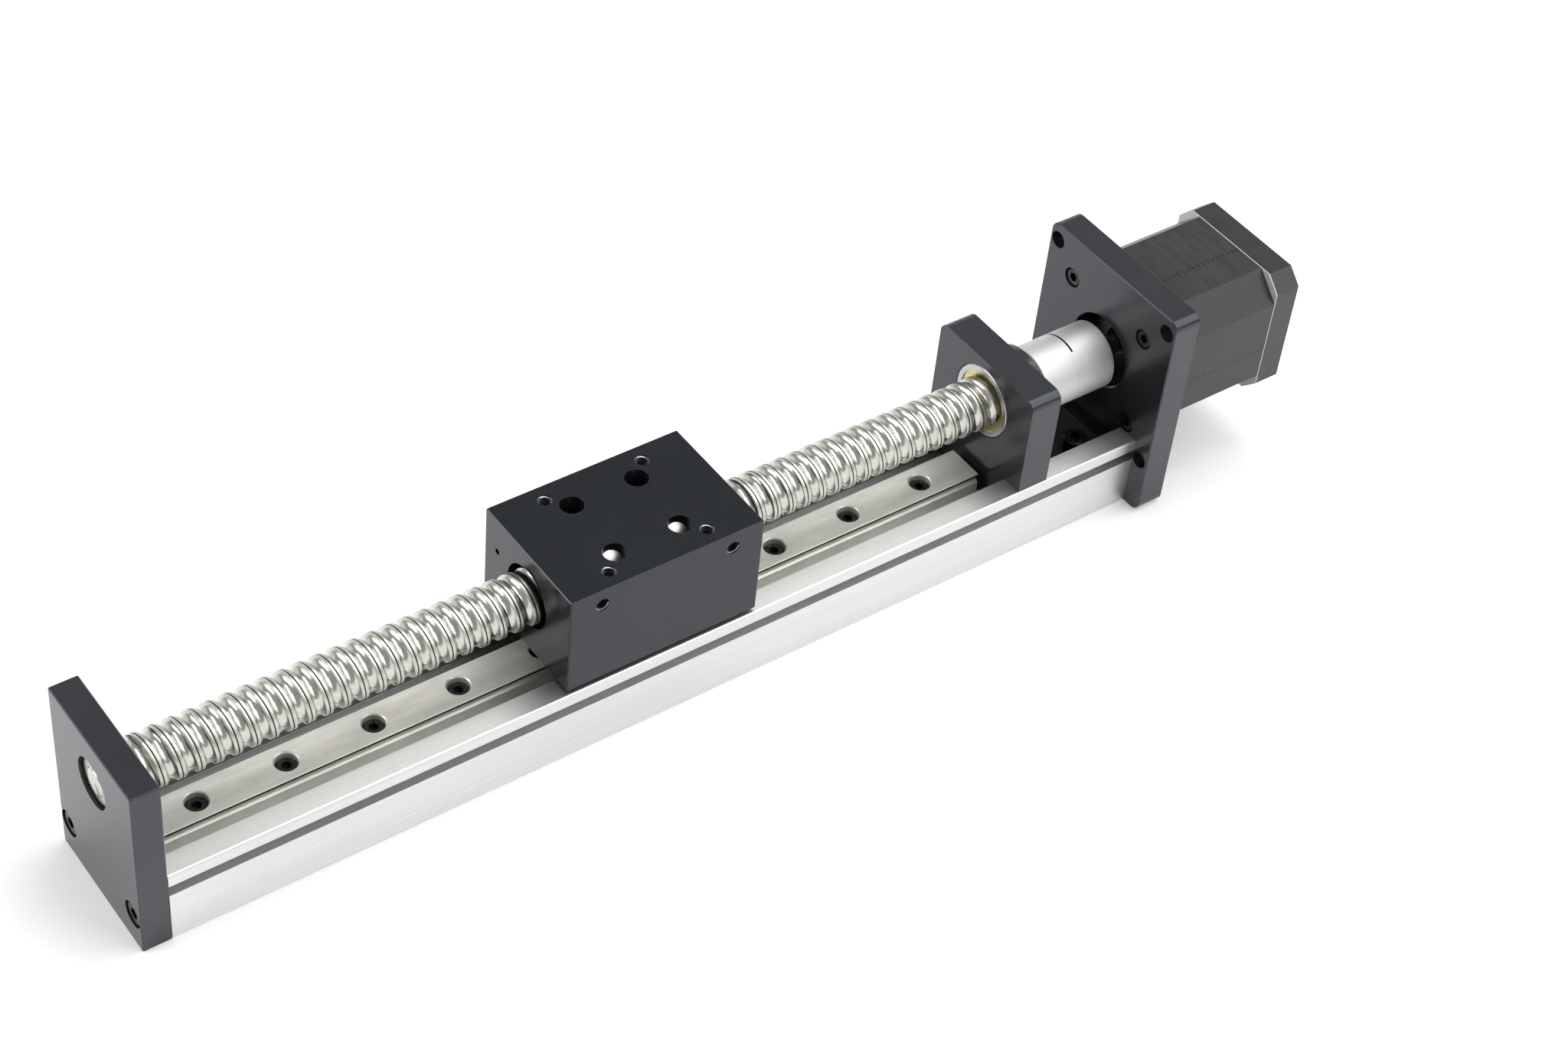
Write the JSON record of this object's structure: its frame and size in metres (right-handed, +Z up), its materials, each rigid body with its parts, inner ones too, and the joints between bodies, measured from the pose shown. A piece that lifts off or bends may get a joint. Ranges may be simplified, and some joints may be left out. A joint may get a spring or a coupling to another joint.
{
  "type": "ball screw linear module",
  "caption": "Motor-driven ball screw linear module: a slider block rides a guide rail on an aluminium base, between an idle end plate and a bearing block with a stepping motor.",
  "frame": {"origin": "on the face that the module stands on, under the middle of its length and width", "axes": "+X along the screw towards the motor, +Y across, +Z up"},
  "size_m": [0.3662, 0.054, 0.07],
  "materials": {
    "black_anodised": "satin black anodised",
    "clear_anodised": "satin clear anodised, drawn along its length",
    "rail_steel": "ground steel",
    "screw_steel": "polished rolled steel",
    "bearing_steel": "polished",
    "shield_steel": "yellow passivated",
    "cage_steel": "pressed",
    "black_oxide": "black oxide",
    "coupling_aluminium": "fine turned",
    "motor_black": "satin black",
    "motor_bare": "cast and machined",
    "copper_wire": "enamelled copper",
    "magnet": "sintered",
    "rotor_steel": "laminated",
    "white_plastic": "moulded",
    "black_plastic": "moulded",
    "seal_rubber": "moulded",
    "pin_brass": "tinned"
  },
  "bodies": {
    "base": {"base_extrusion": "clear_anodised", "guide_rail": "rail_steel", "rail_screws": "black_oxide", "end_plate": "black_anodised", "end_plate_screws": "black_oxide", "bearing_block": "black_anodised", "bearing_block_screws": "black_oxide", "motor_plate": "black_anodised", "motor_plate_screws": "black_oxide", "motor_screws": "black_oxide", "motor_front_flange": "motor_black", "stator_stack": "motor_black", "stator_bobbins": "white_plastic", "stator_coils": "copper_wire", "motor_rear_cap": "motor_black", "motor_tie_screws": "rail_steel", "motor_wave_washer": "rail_steel", "motor_connector": "white_plastic", "connector_pins": "pin_brass", "idle_bearing_outer_ring": "bearing_steel", "idle_bearing_balls": "bearing_steel", "idle_bearing_cage": "cage_steel", "idle_bearing_shields": "shield_steel", "fixed_bearing_outer_rings": "bearing_steel", "fixed_bearing_balls": "bearing_steel", "fixed_bearing_cages": "cage_steel", "fixed_bearing_shields": "shield_steel", "motor_bearing_outer_rings": "bearing_steel", "motor_bearing_balls": "bearing_steel", "motor_bearing_cages": "cage_steel", "motor_bearing_shields": "shield_steel"},
    "screw": {"ball_screw": "screw_steel", "bearing_spacer": "bearing_steel", "shaft_circlip": "black_oxide", "shaft_coupling": "coupling_aluminium", "coupling_set_screws": "black_oxide", "motor_shaft": "bearing_steel", "rotor_front_cup": "rotor_steel", "rotor_magnet": "magnet", "rotor_rear_cup": "rotor_steel", "idle_bearing_inner_ring": "bearing_steel", "fixed_bearing_inner_rings": "bearing_steel", "motor_bearing_inner_rings": "bearing_steel"},
    "carriage": {"slider_block": "black_anodised", "nut_lock_screws": "black_oxide", "ball_nut": "bearing_steel", "nut_balls": "bearing_steel", "nut_return_caps": "black_plastic", "nut_wipers": "black_plastic", "carriage_body": "rail_steel", "carriage_end_caps": "black_plastic", "carriage_end_seals": "seal_rubber", "carriage_cap_screws": "black_oxide", "carriage_balls": "bearing_steel", "carriage_screws": "black_oxide"}
  },
  "joints": [
    {"name": "screw_spin", "type": "hinge", "parent": "base", "child": "screw", "pos_m": [0, 0, 0.0414], "axis": [1, 0, 0], "range_deg": [-6120, 7920]},
    {"name": "carriage_slide", "type": "slide", "parent": "base", "child": "carriage", "axis": [1, 0, 0], "range_m": [-0.1101, 0.0851]}
  ],
  "couplings": [
    {"joint": "carriage_slide", "follows": "screw_spin", "m_per_rad": -0.00079577}
  ]
}
